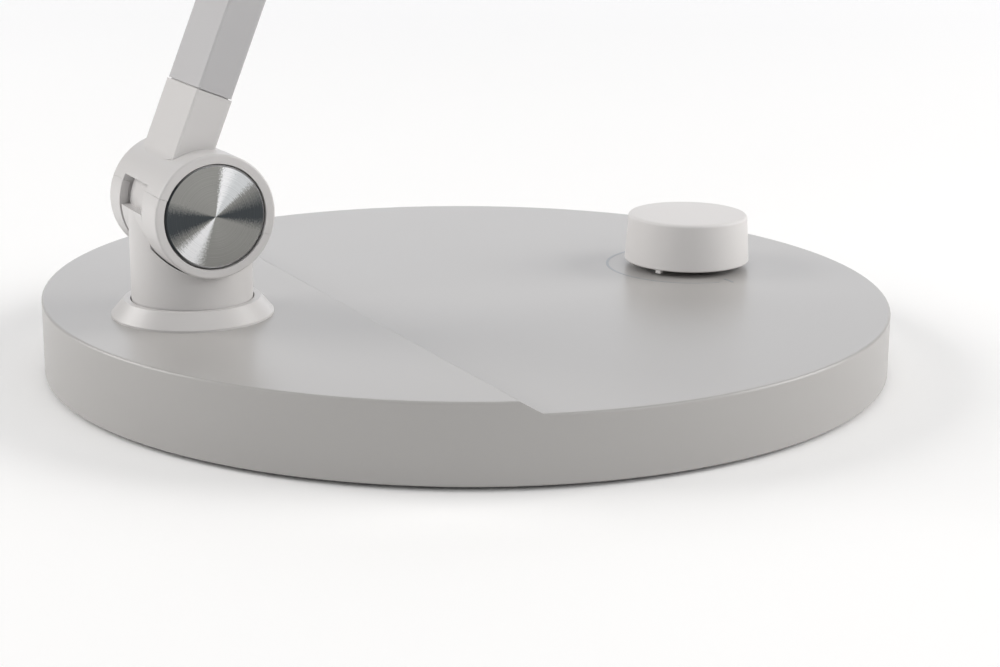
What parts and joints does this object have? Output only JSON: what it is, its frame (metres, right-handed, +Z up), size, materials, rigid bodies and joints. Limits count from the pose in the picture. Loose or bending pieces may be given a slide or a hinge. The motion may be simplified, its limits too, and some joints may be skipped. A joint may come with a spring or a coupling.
{
  "type": "folding desk lamp",
  "caption": "Folding desk lamp with a round weighted base, a swivelling post, a leaning arm, a flat bar head and a rotary dimmer knob.",
  "frame": {"origin": "centre of the round base, in the plane of the foot mat's underside", "axes": "+Z up, -Y to the lamp's front where the dimmer knob is, +X to the right as seen from its front; the hinge axes run along X"},
  "size_m": [0.21, 0.4928, 0.3839],
  "materials": {
    "shell_plastic": "satin moulded, warm white",
    "knob_plastic": "fine matt moulded, white",
    "arm_metal": "satin white powder coat on aluminium",
    "spun_metal": "circularly spun",
    "steel": "zinc plated",
    "ballast": "blackened",
    "mat_rubber": "matt",
    "slide_plastic": "natural acetal",
    "dark_plastic": "black",
    "contact_metal": "plated",
    "board": "solder mask",
    "opal": "opal sheet",
    "spreader": "mill",
    "led_board": "white solder mask on aluminium board",
    "led": "phosphor"
  },
  "bodies": {
    "base": {"base_shell": "shell_plastic", "base_pan": "steel", "ballast_plate": "ballast", "foot_mat": "mat_rubber", "pan_screws": "steel", "post_collar": "shell_plastic", "swivel_bush": "slide_plastic", "power_inlet": "dark_plastic", "inlet_contacts": "contact_metal", "base_leads": "dark_plastic", "control_board": "board", "board_screws": "steel", "dimmer_can": "steel", "dimmer_nut": "steel"},
    "dimmer": {"knob": "knob_plastic", "dimmer_shaft": "steel"},
    "post": {"post": "shell_plastic", "post_spigot": "steel", "spigot_washer": "steel", "spigot_nut": "steel", "lower_bush": "steel", "post_lead": "dark_plastic"},
    "arm": {"lower_knuckle": "shell_plastic", "lower_near_cover": "shell_plastic", "lower_far_cover": "shell_plastic", "lower_near_cap": "spun_metal", "lower_far_cap": "spun_metal", "lower_bolt": "steel", "lower_nut": "steel", "lower_washers": "dark_plastic", "arm_tube": "arm_metal", "arm_lead": "dark_plastic", "tube_screws": "steel", "upper_knuckle": "shell_plastic", "upper_cover": "shell_plastic", "upper_near_cap": "spun_metal", "upper_far_cap": "spun_metal", "upper_bolt": "steel", "upper_nut": "steel", "upper_washers": "dark_plastic"},
    "head": {"head_neck": "shell_plastic", "upper_bush": "steel", "head_housing": "arm_metal", "rear_end_cap": "shell_plastic", "front_end_cap": "shell_plastic", "diffuser": "opal", "heat_spreader": "spreader", "led_board": "led_board", "leds": "led", "neck_screws": "steel", "cap_screws": "steel", "head_lead": "dark_plastic"}
  },
  "joints": [
    {"name": "post_swivel", "type": "hinge", "parent": "base", "child": "post", "pos_m": [0, 0.0728, 0.0233], "axis": [0, 0, 1], "range_deg": [-150, 150]},
    {"name": "arm_fold", "type": "hinge", "parent": "post", "child": "arm", "pos_m": [0, 0.0728, 0.0455], "axis": [1, 0, 0], "range_deg": [-28, 67.8]},
    {"name": "head_fold", "type": "hinge", "parent": "arm", "child": "head", "pos_m": [0, -0.05944, 0.36956], "axis": [1, 0, 0], "range_deg": [-45, 112.2]},
    {"name": "dimmer_turn", "type": "hinge", "parent": "base", "child": "dimmer", "pos_m": [0, -0.0653, 0.02], "axis": [0, 0, 1], "range_deg": [-240, 60]}
  ]
}
